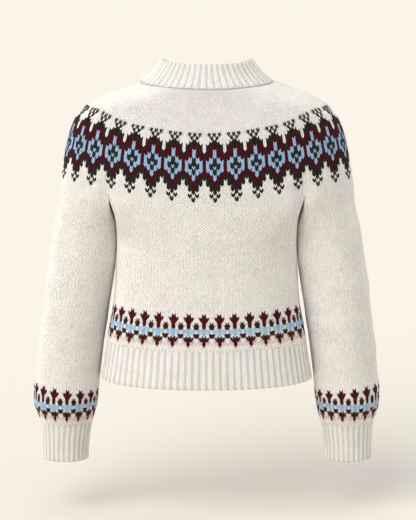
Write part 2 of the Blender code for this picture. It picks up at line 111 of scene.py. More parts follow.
def read(table, at):
    """The other columns of a table at values of its first one, on a smooth curve through it."""
    rows = np.array(table, float)
    keys, values = rows[:, 0], rows[:, 1:]
    slopes = np.gradient(values, keys, axis=0)
    at = np.clip(at, keys[0], keys[-1])
    row = np.clip(np.searchsorted(keys, at) - 1, 0, len(keys) - 2)
    span = np.asarray(keys[row + 1] - keys[row])[..., None]
    t = np.asarray(at - keys[row])[..., None] / span
    start = (1 + 2 * t) * (1 - t) ** 2 * values[row] + t * (1 - t) ** 2 * span * slopes[row]
    end = t * t * (3 - 2 * t) * values[row + 1] + t * t * (t - 1) * span * slopes[row + 1]
    return start + end


def ease(t):
    """0 below 0, 1 above 1 and smooth between."""
    t = np.clip(t, 0.0, 1.0)
    return t * t * (3 - 2 * t)


def ramped(at, start, span):
    """0 up to a start, 1 past its span and smooth between."""
    return ease((at - start) / span)


def unit(vectors):
    """Vectors brought to a length of 1."""
    return vectors / np.linalg.norm(vectors, axis=-1, keepdims=True)


def lengths(curve):
    """Distance of each point of a curve from its first one."""
    steps = np.linalg.norm(np.diff(curve, axis=0), axis=1)
    return np.concatenate([[0.0], np.cumsum(steps)])


def stretched(at, keys, values):
    """Values between keys, going on straight past the last one."""
    step = (values[-1] - values[-2]) / (keys[-1] - keys[-2])
    return np.interp(at, keys, values) + np.maximum(at - keys[-1], 0.0) * step


def at_length(curve, places):
    """Points of a curve at distances from its start, mirrored where a distance is negative."""
    along = lengths(curve)
    points = np.stack([np.interp(np.abs(places), along, curve[:, i]) for i in range(3)], axis=-1)
    points[..., 0] *= np.where(places < 0, -1.0, 1.0)
    return points


def length_to(curve, x, front):
    """Distance along a half ring from the centre back to where it has this x."""
    along = lengths(curve)
    widest = curve[:, 0].argmax()
    if front:
        return np.interp(-x, -curve[widest:, 0], along[widest:])
    return np.interp(x, curve[: widest + 1, 0], along[: widest + 1])


def yoke_ring(share):
    """Half a ring of the yoke, dense, from the centre back to the centre front."""
    side_out, side_down = read(SHOULDER, share) * MM
    back_out, back_down = read(BACK, share) * MM
    front_out, front_down = read(FRONT, share) * MM
    centre = NECK_CENTRE + (ARM_CENTRE - NECK_CENTRE) * ease(share)
    crease = CREASE_DEPTH * ramped(share, CREASE_START, 1 - CREASE_START)
    x = side_out * np.sin(TURNS)
    toward = np.cos(TURNS)
    reach = np.where(toward > 0, back_out - centre, front_out + centre)
    dip = np.where(toward > 0, back_down, front_down) - side_down
    fold = crease * np.exp(-(((x - CREASE_OUT) / CREASE_WIDTH) ** 2))
    y = centre + reach * toward - np.copysign(fold, toward)
    z = -side_down - dip * np.abs(toward) ** SIDE_FLATNESS
    return np.stack([x, y, z], axis=-1)


def shift_at(columns, start, span):
    """How many stitches the columns lie to the wearer's left of their even places."""
    return COLUMN_SHIFT * (1 - ramped(np.abs(columns), start, span))


def even_row(row, columns):
    """Points of a row of the yoke that lies level all round."""
    ring = yoke_ring(row / YOKE_ROWS)
    whole = lengths(ring)[-1]
    stops = [0.0, whole * YOKE_SHOULDER / YOKE_HALF, length_to(ring, BAND_HALF, True)]
    places = columns + shift_at(columns, *SHOULDER_FADE)
    reach = stretched(np.abs(places), [0.0, YOKE_SHOULDER, YOKE_FRONT], stops)
    return at_length(ring, reach * np.sign(places))


def yoke_row(row, columns):
    """Points of a row of the yoke; the rows of the band climb a little on the shoulders."""
    out = np.abs(columns)
    shoulder = ramped(out, *CLIMB_IN) * (1 - ramped(out, *CLIMB_OUT))
    line = row - np.interp(row, *BAND_CLIMB) * shoulder
    low = int(line.min())
    grid = np.array([even_row(at, columns) for at in range(low, min(row, YOKE_ROWS) + 1)])
    upper = np.minimum(line.astype(int) - low, len(grid) - 1)
    lower = np.minimum(upper + 1, len(grid) - 1)
    share = (line - low - upper)[:, None]
    every = np.arange(len(columns))
    return grid[upper, every] * (1 - share) + grid[lower, every] * share


class Fabric:
    """A knitted surface: points at every row and half column, and the normals there."""

    def __init__(self, row_points, rows, first, last, rise=()):
        """row_points(row, columns) gives the points of a row, 0 at the top edge.

        rise has rows at an edge and by how much they stand out from the rest.
        """
        self.rows = rows
        self.columns = np.arange(first - 1.0, last + 1.01, 0.5)
        points = np.array([row_points(row, self.columns) for row in range(rows + 1)])
        above, below = 2 * points[0] - points[1], 2 * points[-1] - points[-2]
        self.points = np.concatenate([above[None], points, below[None]])
        down = np.gradient(self.points, axis=0)
        across = np.gradient(self.points, axis=1)
        self.normals = unit(np.cross(across, down))
        for row, height in rise:
            self.points[row + 1] += self.normals[row + 1] * height

    def at(self, column, row, height=0.0):
        """Points at columns and rows, raised by height."""
        i = np.clip((column - self.columns[0]) * 2, 0, len(self.columns) - 1.001)
        j = np.clip(row + 1.0, 0, self.rows + 1.999)
        i0, j0 = i.astype(int), j.astype(int)
        s, t = (i - i0)[..., None], (j - j0)[..., None]
        found = 0.0
        for grid, share in ((self.points, 1.0), (self.normals, np.asarray(height)[..., None])):
            above = grid[j0, i0] * (1 - s) + grid[j0, i0 + 1] * s
            below = grid[j0 + 1, i0] * (1 - s) + grid[j0 + 1, i0 + 1] * s
            found = found + (above * (1 - t) + below * t) * share
        return found


def add_object(name, data):
    """A new object in the scene."""
    item = bpy.data.objects.new(name, data)
    bpy.context.scene.collection.objects.link(item)
    return item


def add_mesh(name, points, faces, kinds, uv, tones, painted_crease_shades, uv_faces=None):
    """A smooth mesh with a wool for each face, and a map, tone and painted shade for each point."""
    mesh = bpy.data.meshes.new(name)
    mesh.vertices.add(len(points))
    mesh.vertices.foreach_set("co", points.astype(np.float32).ravel())
    mesh.loops.add(faces.size)
    mesh.loops.foreach_set("vertex_index", faces.astype(np.int32).ravel())
    mesh.polygons.add(len(faces))
    starts = np.arange(len(faces)) * faces.shape[1]
    mesh.polygons.foreach_set("loop_start", starts.astype(np.int32))
    for material in WOOLS:
        mesh.materials.append(material)
    mesh.polygons.foreach_set("material_index", kinds.astype(np.int32))
    mesh.update(calc_edges=True)
    corners = (faces if uv_faces is None else uv_faces).ravel()
    mesh.uv_layers.new(name="OFBake").data.foreach_set("uv", uv[corners].astype(np.float32).ravel())
    # tone differs at random; crease is painted shade for the crevices between stitches
    for word, values in (("tone", tones), ("crease", painted_crease_shades)):
        layer = mesh.attributes.new(word, "FLOAT", "POINT").data
        layer.foreach_set("value", np.asarray(values, np.float32))
    mesh.shade_smooth()
    return add_object(name, mesh)


def hex_colour(code):
    """An sRGB colour such as "E6E0D6" as linear red, green and blue, with alpha."""
    values = [int(code[i : i + 2], 16) / 255 for i in (0, 2, 4)]
    linear = [v / 12.92 if v <= 0.04045 else ((v + 0.055) / 1.055) ** 2.4 for v in values]
    return (*linear, 1.0)


def add_node(tree, kind, settings=(), stops=(), **inputs):
    """A node with its settings and colour stops, its inputs set to values or linked to sockets."""
    node = tree.nodes.new("ShaderNode" + kind)
    for key, value in dict(settings).items():
        setattr(node, key, value)
    while stops and len(node.color_ramp.elements) < len(stops):
        node.color_ramp.elements.new(0.5)
    for number, (at, code) in enumerate(stops):
        node.color_ramp.elements[number].position = at
        node.color_ramp.elements[number].color = hex_colour(code)
    for key, value in inputs.items():
        socket = node.inputs[int(key[1:]) if key[0] == "i" and key[1:].isdigit() else key]
        if isinstance(value, bpy.types.NodeSocket):
            tree.links.new(value, socket)
        else:
            socket.default_value = value
    return node


def new_material(name, finish):
    """A material with its node tree and its shader, whose sockets get the finish."""
    material = bpy.data.materials.new(name)
    material.use_nodes = True
    shader = material.node_tree.nodes["Principled BSDF"]
    for socket, value in finish.items():
        shader.inputs[socket].default_value = value
    return material, material.node_tree, shader


FLECKS = 900.0  # to a metre, so each is about 1.1 mm wide
CLOUDS = 34.0  # to a metre: paler and darker places of the cloth, about 29 mm wide
TONE_FLECKS, TONE_SHADE = 0.03, 0.014  # how far a stitch's own tone moves its flecks and shade


def lambswool(name, base, fleck, pale, fleck_share, painted_crease_shade):
    """Woollen-spun lambswool: matt, a little hairy, with flecks of darker and paler fibre.

    Single fibres are too fine to show, so the flecks are drawn about 1 mm wide, and the same
    flecks give the yarn a fine bump. Painted shade darkens the colour at points that the crease
    attribute marks as lying deep between stitches.
    """
    finish = {"Roughness": 0.92, "Specular IOR Level": 0.12}
    finish |= {"Sheen Weight": 0.12, "Sheen Roughness": 0.5}
    material, tree, shader = new_material(name, finish)
    place = add_node(tree, "TexCoord").outputs["Object"]
    tone = add_node(tree, "Attribute", {"attribute_name": "tone"}).outputs["Fac"]
    fibre = add_node(tree, "TexNoise", Vector=place, Scale=FLECKS, Detail=3.0, Roughness=0.7)
    cloud = add_node(tree, "TexNoise", Vector=place, Scale=CLOUDS, Detail=4.0, Roughness=0.6)
    add = {"operation": "MULTIPLY_ADD"}
    mixed = add_node(tree, "Math", add, i0=tone, i1=TONE_FLECKS, i2=fibre.outputs["Fac"])
    stops = (0.44 - fleck_share, fleck), (0.50 - fleck_share / 2, base), (0.60, base), (0.72, pale)
    ramp = add_node(tree, "ValToRGB", stops=stops, Fac=mixed.outputs[0])
    shade = add_node(tree, "MapRange", i0=cloud.outputs["Fac"], i1=0.3, i2=0.7, i3=0.96, i4=1.03)
    toned = add_node(tree, "Math", add, i0=tone, i1=TONE_SHADE, i2=shade.outputs[0])
    # Painted shade: darker where the crease attribute marks a point deep between stitches
    crease = add_node(tree, "Attribute", {"attribute_name": "crease"}).outputs["Fac"]
    toned = add_node(tree, "Math", add, i0=crease, i1=-painted_crease_shade, i2=toned.outputs[0]).outputs[0]
    scale = {"operation": "SCALE"}
    colour = add_node(tree, "VectorMath", scale, Vector=ramp.outputs["Color"], Scale=toned)
    tree.links.new(colour.outputs[0], shader.inputs["Base Color"])
    bump = add_node(tree, "Bump", Strength=0.35, Distance=0.0004, Height=fibre.outputs["Fac"])
    tree.links.new(bump.outputs[0], shader.inputs["Normal"])
    return material


CREAM, CHARCOAL, MAROON, BLUE, PALE_BLUE, PINK = range(6)
# The last number of each wool is how much painted shade darkens it between stitches
WOOLS = [
    lambswool("lambswool_cream_heather", "FAF7F2", "E9E4DD", "FEFCF9", 0.06, 0.34),
    lambswool("lambswool_charcoal", "282824", "1B1B18", "3F3F3A", 0.05, 0.60),
    lambswool("lambswool_maroon", "4E0814", "36040C", "6E1422", 0.05, 0.62),
    lambswool("lambswool_light_blue", "A6C9E8", "8EB3DB", "C2DCF0", 0.05, 0.52),
    lambswool("lambswool_pale_blue", "BED0DE", "A8BFD3", "D6DFE5", 0.05, 0.35),
    lambswool("lambswool_dusty_pink", "E3CFC9", "D3B6AF", "EDDFD8", 0.07, 0.30),
]
LETTERS = {"W": CREAM, "K": CHARCOAL, "M": MAROON, "B": BLUE, "L": PALE_BLUE, "P": PINK}


def chart(text):
    """Rows of a mirrored repeat as yarn numbers: a row has its stitches from the middle out."""
    return np.array([[LETTERS[letter] for letter in row] for row in text.split()])


def charted(pattern, first_row, repeat, columns, rows):
    """The yarn of stitches at whole columns and rows, cream outside the chart."""
    out = np.abs((columns + repeat // 2) % repeat - repeat // 2).astype(int)
    row = np.floor(rows - first_row).astype(int)
    inside = (row >= 0) & (row < len(pattern))
    return np.where(inside, pattern[np.clip(row, 0, len(pattern) - 1), out], CREAM)


# A leg of a stitch is a plump leaf that leans out from the foot of its V. Each section is one
# place along it, in shares of the stitch's height and width, and heights in millimetres.
LEG = (
    # up, out from the middle, half width, crest, edge
    (-0.28, 0.000, 0.000, -0.55, -0.55),
    (0.14, 0.120, 0.160, 0.05, -1.25),
    (0.56, 0.250, 0.225, 0.12, -1.35),
    (1.00, 0.375, 0.185, -0.20, -1.45),
    (1.36, 0.475, 0.000, -1.35, -1.35),
)
LEG_FACES = (
    (1, 2, 0), (2, 3, 0), (4, 5, 2), (4, 2, 1), (5, 6, 3), (5, 3, 2),
    (7, 8, 5), (7, 5, 4), (8, 9, 6), (8, 6, 5), (10, 8, 7), (10, 9, 8),
)
# The loop of a purl stitch is a low leaf that lies across
PURL = (
    # along, half width, crest, edge
    (-0.46, 0.00, -1.95, -1.95),
    (-0.22, 0.24, -1.65, -2.05),
    (0.00, 0.30, -1.50, -2.05),
    (0.22, 0.24, -1.65, -2.05),
    (0.46, 0.00, -1.95, -1.95),
)


def leaf_offsets(sections, across, plump=1.0):
    """Columns, rows and heights of a leaf's 11 points, in shares of a stitch and metres."""
    found = []
    for *place, half, crest, edge in sections:
        half *= plump
        sides = ((0.0, crest),) if half == 0 else ((-half, edge), (0.0, crest), (half, edge))
        for aside, height in sides:
            if across:
                found.append((place[0], -aside, height))
            else:
                found.append((place[1] + aside, 1.0 - place[0], height))
    return np.array(found).T * np.array([[1.0], [1.0], [MM]])


LEG_LEAF = leaf_offsets(LEG, False)
PLUMP_LEAF = leaf_offsets(LEG, False, 1.3)  # the coloured stitches, with a strand behind them
PURL_LEAF = leaf_offsets(PURL, True)
# A stitch of one colour alone bulges into a heart
HEART = (
    (-0.45, 0.000, 0.000, -0.35, -0.35),
    (0.02, 0.165, 0.200, 0.10, -0.70),
    (0.55, 0.300, 0.295, 0.20, -0.75),
    (1.05, 0.365, 0.260, 0.00, -0.80),
    (1.42, 0.390, 0.000, -0.95, -0.95),
)
HEART_LEAF = leaf_offsets(HEART, False)
LEAF_POINTS = 11
# Painted shade at each point of a leaf, for lying deep among its neighbours, and more on a purl
LEAF_PAINTED_SHADE = np.array([0.6, 0.9, 0.0, 0.9, 0.9, 0.0, 0.9, 1.0, 0.15, 1.0, 1.0])
PURL_PAINTED_SHADE = 0.6
# How uneven the stitches are, as standard deviations in shares of a stitch and in metres
UNEVEN_WIDTH = 0.035
UNEVEN_ACROSS = 0.018
UNEVEN_DOWN = 0.035
UNEVEN_HEIGHT = 0.05 * MM
FIBRES = 0.36  # loose fibres for each leaf, drawn thicker than real ones and far fewer
FIBRE_WIDTH = 0.24 * MM
FIBRE_REACH = (1.5 * MM, 5.0 * MM)
FIBRE_RISE = (0.5 * MM, 2.6 * MM)
FIBRE_SINK = 0.1  # millimetres from the crest of a leaf down to the root
FIBRE_THICK = 0.8  # of its width


def add_leaves(name, groups):
    """Leaves as one mesh. A group has a fabric, columns, rows, yarns, a leaf, its side and size.

    Wool is hairy: loose fibres stand off the leaves, each a thin spike with three sides.
    """
    points, faces, kinds, tones, painted_crease_shades = [], [], [], [], []
    count = 0
    for fabric, columns, rows, yarns, leaf, side, width, lift in groups:
        number = len(columns)
        across, down, height = leaf
        width = width * rng.normal(1.0, UNEVEN_WIDTH, (number, 1))
        place = columns[:, None] + side * across * width
        place = place + rng.normal(0.0, UNEVEN_ACROSS, (number, 1))
        line = rows[:, None] + down + rng.normal(0.0, UNEVEN_DOWN, (number, 1))
        high = height + lift + rng.normal(0.0, UNEVEN_HEIGHT, (number, 1))
        points.append(fabric.at(place, line, high))
        found = np.array(LEG_FACES)[:, :: 1 if side > 0 else -1]
        firsts = count + LEAF_POINTS * np.arange(number)[:, None, None]
        faces.append((found + firsts).reshape(-1, 3))
        kinds.append(np.full(number, yarns))
        tones.append(np.repeat(rng.normal(0.0, 1.0, number), LEAF_POINTS))
        # Painted shade in the crevices of each leaf, darker on a purl
        purl_shade = PURL_PAINTED_SHADE if leaf is PURL_LEAF else 0.0
        painted_crease_shades.append(np.tile(LEAF_PAINTED_SHADE + purl_shade, number))
        count += LEAF_POINTS * number
    # Each leaf has a square of the map to itself
    points, kinds = np.concatenate(points), np.concatenate(kinds)
    leaves = len(points)
    side = math.ceil(math.sqrt(leaves))
    cell = np.arange(leaves)
    corner = np.stack([cell % side, cell // side], axis=1)[:, None]
    u = np.array([0.5, 0.1, 0.5, 0.9, 0.1, 0.5, 0.9, 0.1, 0.5, 0.9, 0.5])
    v = np.array([0.1, 0.3, 0.3, 0.3, 0.5, 0.5, 0.5, 0.7, 0.7, 0.7, 0.9])
    uv = (corner + np.stack([u, v], axis=1)[None]) / side
    # and its fibres the corners of that square
    rooted = cell[rng.random(leaves) < FIBRES]
    number = len(rooted)
    leaf = points[rooted]
    outward = unit(np.cross(leaf[:, 6] - leaf[:, 4], leaf[:, 8] - leaf[:, 2]))
    middle = leaf.mean(axis=1)
    outward *= np.sign(((leaf[:, 5] - middle) * outward).sum(axis=1, keepdims=True))
    aside = rng.normal(0.0, 1.0, (number, 3))
    aside = unit(aside - (aside * outward).sum(axis=1, keepdims=True) * outward)
    root = leaf[np.arange(number), rng.choice([2, 5, 8], number)] - outward * FIBRE_SINK * MM
    half = np.cross(outward, aside) * FIBRE_WIDTH / 2
    reach = rng.uniform(*FIBRE_REACH, (number, 1))
    tip = root + aside * reach + outward * rng.uniform(*FIBRE_RISE, (number, 1))
    top = root + outward * FIBRE_WIDTH * FIBRE_THICK
    fibres = np.stack([root - half, root + half, top, tip], axis=1)
    spot = np.array([[0.02, 0.02], [0.08, 0.02], [0.05, 0.04], [0.05, 0.10]])
    points = np.concatenate([points.reshape(-1, 3), fibres.reshape(-1, 3)])
    spike = np.array([[0, 2, 1], [0, 1, 3], [1, 2, 3], [2, 0, 3]])
    faces.append((count + 4 * np.arange(number)[:, None, None] + spike).reshape(-1, 3))
    uv = np.concatenate([uv.reshape(-1, 2), ((corner[rooted] + spot) / side).reshape(-1, 2)])
    kinds = np.concatenate([np.repeat(kinds, len(LEG_FACES)), np.repeat(kinds[rooted], 4)])
    tones.append(rng.normal(0.0, 1.0, 4 * number))
    painted_crease_shades.append(np.zeros(4 * number))
    faces, tones, painted_crease_shades = [np.concatenate(parts) for parts in (faces, tones, painted_crease_shades)]
    return add_mesh(name, points, faces, kinds, uv, tones, painted_crease_shades)


def legs(fabric, columns, rows, yarns, leaf=LEG_LEAF, width=1.0, lift=0.0):
    """Both legs of the stitches at these columns and rows."""
    return [(fabric, columns, rows, yarns, leaf, side, width, lift * MM) for side in (-1, 1)]


COLOUR_RISE = 0.4  # between two stitches one sees the yarn of the row below
MAP_HEIGHT = 0.48  # each skin of the cloth has nearly half of the map
# Painted shade: the cloth's outer skin is darkened where it shows between stitches, the inner less
SKIN_PAINTED_SHADES = (1.2, 0.5)  # the outer skin is dark between the stitches, the inner one less
SKIN_TONES = 0.6


def add_cloth(name, fabric, edges, depths, yarns=None, closed=False):
    """The cloth behind the stitches, a closed sheet with its outer skin depths below the crests."""
    rows = fabric.rows + 1
    lines = np.arange(rows) - COLOUR_RISE
    lines[[0, -1]] = 0.0, fabric.rows
    column, row = np.meshgrid(edges, lines)
    skins = [fabric.at(column, row, -depth) for depth in (depths, CLOTH)]
    across = len(edges) - 1 if closed else len(edges)
    points = np.concatenate([skin[:, :across].reshape(-1, 3) for skin in skins])
    place = np.arange(len(edges)) % across + np.arange(rows)[:, None] * across
    spare = np.arange(rows * len(edges)).reshape(rows, len(edges))
    faces = []
    for spot in (place, spare):
        half = int(spot.max()) + 1
        skin = np.stack([spot[:-1, :-1], spot[:-1, 1:], spot[1:, 1:], spot[1:, :-1]], axis=-1)
        skin = skin.reshape(-1, 4)
        lines = [spot[0, ::-1], spot[-1]]
        if not closed:
            lines += [spot[:, 0], spot[::-1, -1]]
        rims = [
            np.stack([line[:-1], line[1:], line[1:] + half, line[:-1] + half], axis=1)
            for line in lines
        ]
        faces.append(np.concatenate([skin, skin[:, ::-1] + half, *rims]))
    kinds = np.zeros(len(faces[0]), int)
    if yarns is not None:
        kinds[: yarns.size] = yarns
    u = (column - edges[0]) / (edges[-1] - edges[0])
    v = row / fabric.rows * MAP_HEIGHT
    uv = np.stack([np.stack([u, v + 0.5], axis=-1), np.stack([u, v], axis=-1)]).reshape(-1, 2)
    tones = rng.normal(0.0, SKIN_TONES, len(points))
    # Painted shade on each skin, darker on the outer one
    painted_crease_shades = np.repeat(SKIN_PAINTED_SHADES, len(points) // 2)
    return add_mesh(name, points, faces[0], kinds, uv, tones, painted_crease_shades, faces[1])


def flat_of(fabric, first, last):
    """Width of the widest row, mean length and area of the cloth between two columns."""
    column, row = np.meshgrid(np.arange(first, last + 0.1, 0.5), np.arange(fabric.rows + 1))
    points = fabric.at(column, row, -CLOTH / 2)
    widths = np.linalg.norm(np.diff(points, axis=1), axis=2).sum(axis=1)
    steps = np.linalg.norm(np.diff(points, axis=0), axis=2).mean(axis=1)
    area = float(((widths[1:] + widths[:-1]) / 2 * steps).sum())
    flat = (float(widths.max()), float(steps.sum()))
    return flat, min(area, flat[0] * flat[1])


REPEATS = 20  # to each side of the middle, more than any piece has
COVERED_ROWS, COVERED_COLUMNS = 0.9, 0.6  # how far a lone stitch of width 1 covers others
COLOUR_LIFT, LONE_LIFT = 0.25, 0.5  # millimetres that coloured stitches stand proud


def spots(places, top, repeat, middle):
    """Stitches off the lattice, as rows, columns, yarns and widths, for every repeat."""
    found = []
    for row, columns, letter, width in places:
        for column in columns:
            for at in middle + repeat * np.arange(-REPEATS, REPEATS):
                found.append((top + row, at + column, LETTERS[letter], width))
    return np.array(found)


def add_piece(node, fabric, edges, depths, groups, yarns=None, closed=False):
    """A cloth in the place of its CAD node, and the stitches on it."""
    cloth = add_cloth(node + "_cloth", fabric, edges, depths, yarns, closed)
    stitches = add_leaves(node + "_stitches", groups)
    for piece in (cloth, stitches):
        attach(piece, "root")
    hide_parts(node)
    flat, area = flat_of(fabric, edges[0], edges[-1])


def add_knit(node, fabric, first, last, motif, top, middle, closed=False):
    """A piece in stocking stitch from its first to its last column, on the CAD node's place.

    Stitches of the motif that lie off the lattice take the place of those that they would cover.
    """
    pattern, places, repeat = motif
    column, row = np.meshgrid(np.arange(first, last + 1), np.arange(fabric.rows))
    column, row = column.ravel(), row.ravel()
    yarns = charted(pattern, top, repeat, column - middle, row)
    extra = spots(places, top, repeat, middle)
    extra = extra[(extra[:, 1] >= first) & (extra[:, 1] <= last)]
    free = np.ones(len(row), bool)
    for line, at, _, width in extra:
        clear = np.abs(row - line) > COVERED_ROWS * width
        free &= clear | (np.abs(column - at) > COVERED_COLUMNS * width)
    plain, other = free & (yarns == CREAM), free & (yarns != CREAM)
    groups = legs(fabric, column[plain], row[plain], CREAM)
    groups += legs(fabric, column[other], row[other], yarns[other], PLUMP_LEAF, 1.0, COLOUR_LIFT)
    line, at, lone, width = extra.T
    groups += legs(fabric, at, line, lone.astype(int), HEART_LEAF, width[:, None], LONE_LIFT)
    edges = np.arange(first - 0.5, last + 0.6)
    add_piece(node, fabric, edges, BEHIND, groups, yarns, closed)


# Single dark stitches stand out, and the dots over a diamond lie closer together than the rest
DOTS = (
    # row from the chart's top, columns from its middle, yarn, width
    (-3.25, (-1.53, 0.0, 1.53), "K", 0.80),
    (-1.90, (-0.78, 0.78), "K", 0.78),
    (-0.60, (0.0,), "K", 0.90),
    # The dark clover in a diamond
    (6.05, (0.0,), "K", 1.0),
    (7.00, (0.0,), "K", 1.0),
    (7.70, (0.0,), "K", 1.0),
    (8.15, (-1.0, 1.0), "K", 1.0),
    (8.90, (-1.0, 1.0), "K", 1.0),
    (9.95, (0.0,), "K", 1.0),
    (10.70, (0.0,), "K", 1.0),
    # The hearts that end it below
    (19.05, (-0.98, 0.98), "K", 1.0),
    (20.55, (0.0,), "K", 0.95),
)
# A motif has its chart, the stitches off its lattice and its repeat. Each row of this chart has the
# stitches from the middle of a diamond to halfway to the next one.
DIAMONDS = chart(
    """
    KKWW MKKW MMKW BMMW BMMK BMMK KBMM KBBM BKBM BKBM KBBM
    KBMM BMMK BMKK MMKW MKKW MKWW KKWW KWWW
    """
), DOTS, 6
DIAMOND_TOP, DIAMOND_MIDDLE = 23, 3
# The yoke's first row lies in the groove below the collar
GROOVE = ((-1, -1.2 * MM), (0, -1.5 * MM), (1, -0.8 * MM))
yoke = Fabric(yoke_row, YOKE_ROWS, -YOKE_FRONT, YOKE_FRONT, GROOVE)
for node, first, last in (("back", -48, 48), ("front_left", 49, 90), ("front_right", -90, -49)):
    add_knit("yoke_" + node, yoke, first, last, DIAMONDS, DIAMOND_TOP, DIAMOND_MIDDLE)

# Body
# The back and the fronts go on from the yoke's stitches, in cream with a border of small crowns
# above the hem. Only the underarm's stitches, behind the sleeves, are new.
UNDERARM_DOWN = 205.0 * MM
HEM_SEAM_DOWN = 441.0 * MM
BODY_HEIGHT = HEM_SEAM_DOWN - UNDERARM_DOWN
BODY = (
    # down, half width, back, front, in millimetres
    (205.0, 172.0, 101.0, 104.0),
    (256.0, 158.0, 99.5, 101.5),
    (300.0, 154.0, 98.5, 100.5),
    (345.0, 154.5, 98.5, 101.0),
    (390.0, 159.0, 99.5, 102.0),
    (421.0, 165.0, 101.0, 103.5),
    (441.0, 168.0, 102.0, 104.5),
    (477.0, 173.5, 103.5, 106.0),
    (507.0, 179.0, 105.0, 107.5),
)
CONTACT = (
    # down, x of the plane in which body and sleeve touch, in millimetres
    (165.0, 162.5), (178.0, 162.5), (191.0, 162.4), (200.0, 159.4), (216.0, 154.4), (235.0, 151.6),
    (256.0, 151.2), (309.0, 153.6), (345.0, 158.5), (390.0, 165.5), (441.0, 171.6), (507.0, 180.3),
)
BODY_ROUNDNESS = 2.15
BODY_BLEND = 85.0 * MM
UNDERARM_CORNER = 4.0 * MM
UNDERARM_SAG = 11.0 * MM
TOUCH_GAP = 0.5 * MM
SEAM = 0.3 * MM
BODY_ROWS = 50
BODY_SIDE = 32.5
BODY_FRONT = 61.5
BODY_MATCH = 16.0  # rows over which the columns spread evenly again below the yoke
SIDE_FADE = (29.0, 9.0)  # columns out where the shift begins to fade, and its span


def contact_plane(z):
    """How far out body and sleeve touch at this height."""
    return read(CONTACT, -np.asarray(z) / MM)[..., 0] * MM


def underarm(start, end, side, t):
    """Points under the arm between the two folds: side is -1 on the body, 1 on the sleeve."""
    y = start[1] + (end[1] - start[1]) * t
    z = start[2] + (end[2] - start[2]) * t - UNDERARM_SAG * np.sin(math.pi * t)
    return np.stack([contact_plane(z) + side * SEAM / 2, y, z], axis=-1)


FOOT = yoke_ring(1.0)
FOOT_BACK = length_to(FOOT, CREASE_OUT, False)
FOOT_SIDE = lengths(FOOT)[FOOT[:, 0].argmax()]
FOOT_CREASE = length_to(FOOT, CREASE_OUT, True)
FOOT_BAND = length_to(FOOT, BAND_HALF, True)
FOOT_HALF = lengths(FOOT)[-1] * YOKE_SHOULDER / YOKE_HALF
# The same two folds in columns of the yoke
BACK_FOLD, FRONT_FOLD = np.interp(
    [FOOT_BACK, FOOT_CREASE], [0.0, FOOT_HALF, FOOT_BAND], [0, YOKE_SHOULDER, YOKE_FRONT]
)
BACK_CORNER, FRONT_CORNER = at_length(FOOT, FOOT_BACK), at_length(FOOT, FOOT_CREASE)
CORNER_SHARE = UNDERARM_CORNER / abs(BACK_CORNER[1] - FRONT_CORNER[1])
UNDERARM_STOPS = [0.0, CORNER_SHARE, CORNER_SHARE / 2 + 0.25, 0.5]
UNDERARM_STOPS += [1 - t for t in UNDERARM_STOPS[-2::-1]]


def body_outline(down):
    """Half an outline of the plain body, dense, from the centre back."""
    half_width, back, front = read(BODY, down / MM) * MM
    across = np.abs(np.sin(TURNS)) ** (2 / BODY_ROUNDNESS)
    toward = np.abs(np.cos(TURNS)) ** (2 / BODY_ROUNDNESS)
    y = np.where(TURNS < math.pi / 2, back, -front) * toward
    return np.stack([half_width * across, y, np.full(len(TURNS), -down)], axis=-1)


def on_half(ring, share):
    """Points of a half ring: share is 0 at the centre back, 1 at the side and 2 at the band."""
    side = lengths(ring)[ring[:, 0].argmax()]
    reach = stretched(share, [0.0, 1.0, 2.0], [0.0, side, length_to(ring, BAND_HALF, True)])
    return at_length(ring, reach)


def body_place(down, share, gap):
    """Points of the body's left half in the row this far down, by their share of the half.

    Spots run from 0 at the centre back over 7 and 13, the two folds, to 20 at the band.
    """
    points = on_half(body_outline(down), share)
    spot = share * 10.0
    t = np.interp(spot, np.arange(7, 14), UNDERARM_STOPS)
    under = underarm(BACK_CORNER, FRONT_CORNER, -1, t)
    reach = stretched(spot, [0, 7, 13, 20], [0, FOOT_BACK, FOOT_CREASE, FOOT_BAND])
    foot = np.where(((spot > 7) & (spot < 13))[:, None], under, at_length(FOOT, reach))
    stay = 1 - ramped(down, UNDERARM_DOWN, BODY_BLEND)
    rise = 1 - ramped(down, UNDERARM_DOWN, BODY_HEIGHT)
    points[:, :2] += (foot[:, :2] - points[:, :2]) * stay
    points[:, 2] += (foot[:, 2] + UNDERARM_DOWN) * rise
    points[:, 0] = np.minimum(points[:, 0], contact_plane(points[:, 2]) - gap)
    return points


def body_row(row, columns):
    """Points of a row of the body at columns counted from the centre back."""
    down = UNDERARM_DOWN + BODY_HEIGHT * row / BODY_ROWS
    places = columns + shift_at(columns, *SIDE_FADE)
    size = np.abs(places)
    even = stretched(size, [0.0, BODY_SIDE, BODY_FRONT], [0.0, 1.0, 2.0])
    fold = BODY_FRONT - (YOKE_FRONT - FRONT_FOLD)
    at_foot = stretched(size, [0.0, BACK_FOLD, fold, BODY_FRONT], [0.0, 0.7, 1.3, 2.0])
    share = at_foot + (even - at_foot) * ease(row / BODY_MATCH)
    points = body_place(down, share, SEAM / 2 if row == 0 else TOUCH_GAP)
    points[:, 0] *= np.where(places < 0, -1.0, 1.0)
    return points


